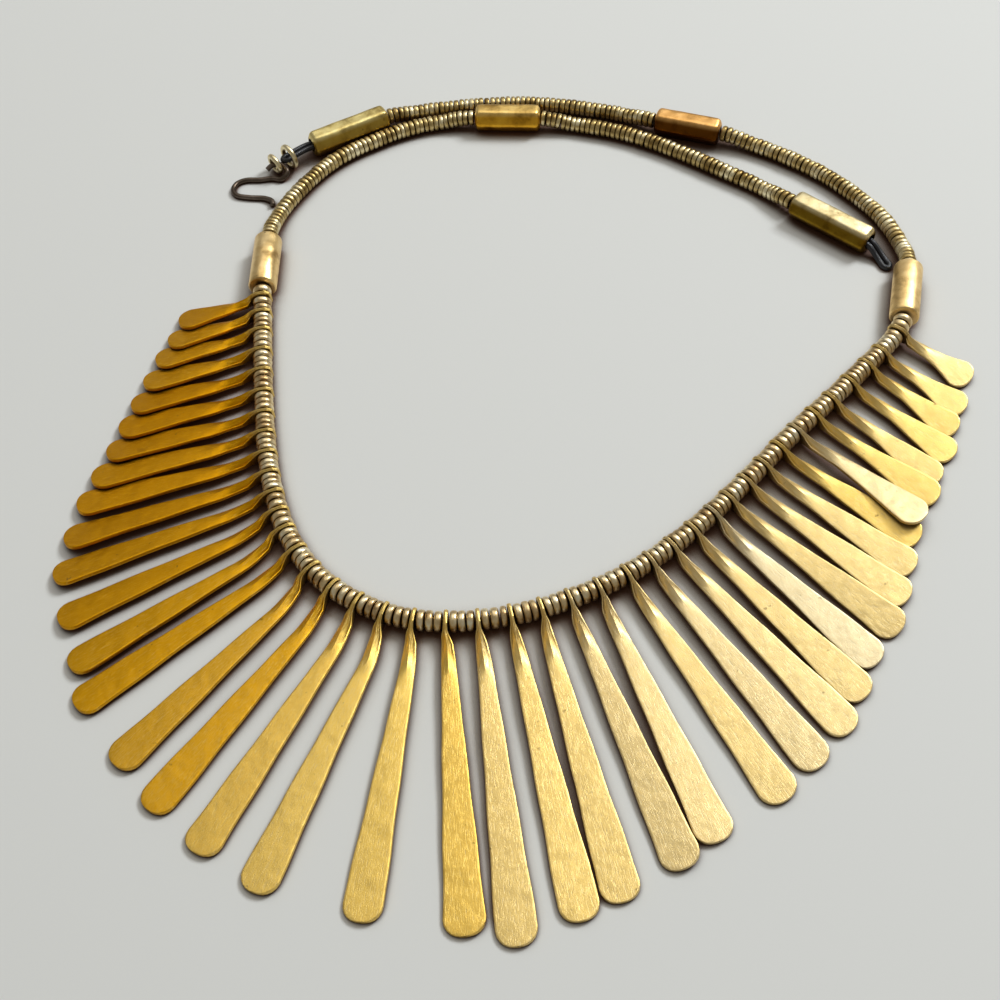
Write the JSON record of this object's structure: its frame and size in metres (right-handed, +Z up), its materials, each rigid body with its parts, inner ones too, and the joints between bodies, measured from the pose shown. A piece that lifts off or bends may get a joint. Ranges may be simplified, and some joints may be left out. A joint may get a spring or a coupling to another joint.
{
  "type": "bib necklace",
  "caption": "Bib necklace of flat hammered brass drops fanned along a string of small discs, with barrel beads and a hook, lying open on a surface",
  "frame": {"origin": "under the middle of the box that holds the necklace, on the surface it lies on", "axes": "+Z up from the surface; +Y from the longest drop towards the clasp; +X to the right as the picture shows it"},
  "size_m": [0.1437, 0.1618, 0.0048],
  "materials": {
    "drop_brass": "hammered and brushed, softly worn",
    "disc_brass": "dull, aged",
    "barrel_brass": "polished",
    "black_cord": "waxed, glossy",
    "pale_ring": "pale wire, worn",
    "dark_hook": "darkened wire"
  },
  "bodies": {
    "root": {"drop_01": "drop_brass", "drop_02": "drop_brass", "drop_03": "drop_brass", "drop_04": "drop_brass", "drop_05": "drop_brass", "drop_06": "drop_brass", "drop_07": "drop_brass", "drop_08": "drop_brass", "drop_09": "drop_brass", "drop_10": "drop_brass", "drop_11": "drop_brass", "drop_12": "drop_brass", "drop_13": "drop_brass", "drop_14": "drop_brass", "drop_15": "drop_brass", "drop_16": "drop_brass", "drop_17": "drop_brass", "drop_18": "drop_brass", "drop_19": "drop_brass", "drop_20": "drop_brass", "drop_21": "drop_brass", "drop_22": "drop_brass", "drop_23": "drop_brass", "drop_24": "drop_brass", "drop_25": "drop_brass", "drop_26": "drop_brass", "drop_27": "drop_brass", "drop_28": "drop_brass", "drop_29": "drop_brass", "drop_30": "drop_brass", "drop_31": "drop_brass", "drop_32": "drop_brass", "drop_33": "drop_brass", "drop_34": "drop_brass", "drop_35": "drop_brass", "drop_36": "drop_brass", "drop_37": "drop_brass", "drop_38": "drop_brass", "drop_39": "drop_brass", "drop_40": "drop_brass", "drop_41": "drop_brass", "front_string_left": "disc_brass", "front_string_right": "disc_brass", "strap_string_left_lower": "disc_brass", "strap_string_left_upper": "disc_brass", "strap_string_right_lower": "disc_brass", "strap_string_right_upper": "disc_brass", "front_barrel_left": "barrel_brass", "front_barrel_right": "barrel_brass", "middle_barrel_left": "barrel_brass", "middle_barrel_right": "barrel_brass", "end_barrel_left": "barrel_brass", "end_barrel_right": "barrel_brass", "cord_loop_left": "black_cord", "cord_loop_right": "black_cord", "crimp_ring": "pale_ring", "jump_ring": "pale_ring", "hook": "dark_hook"}
  },
  "joints": []
}
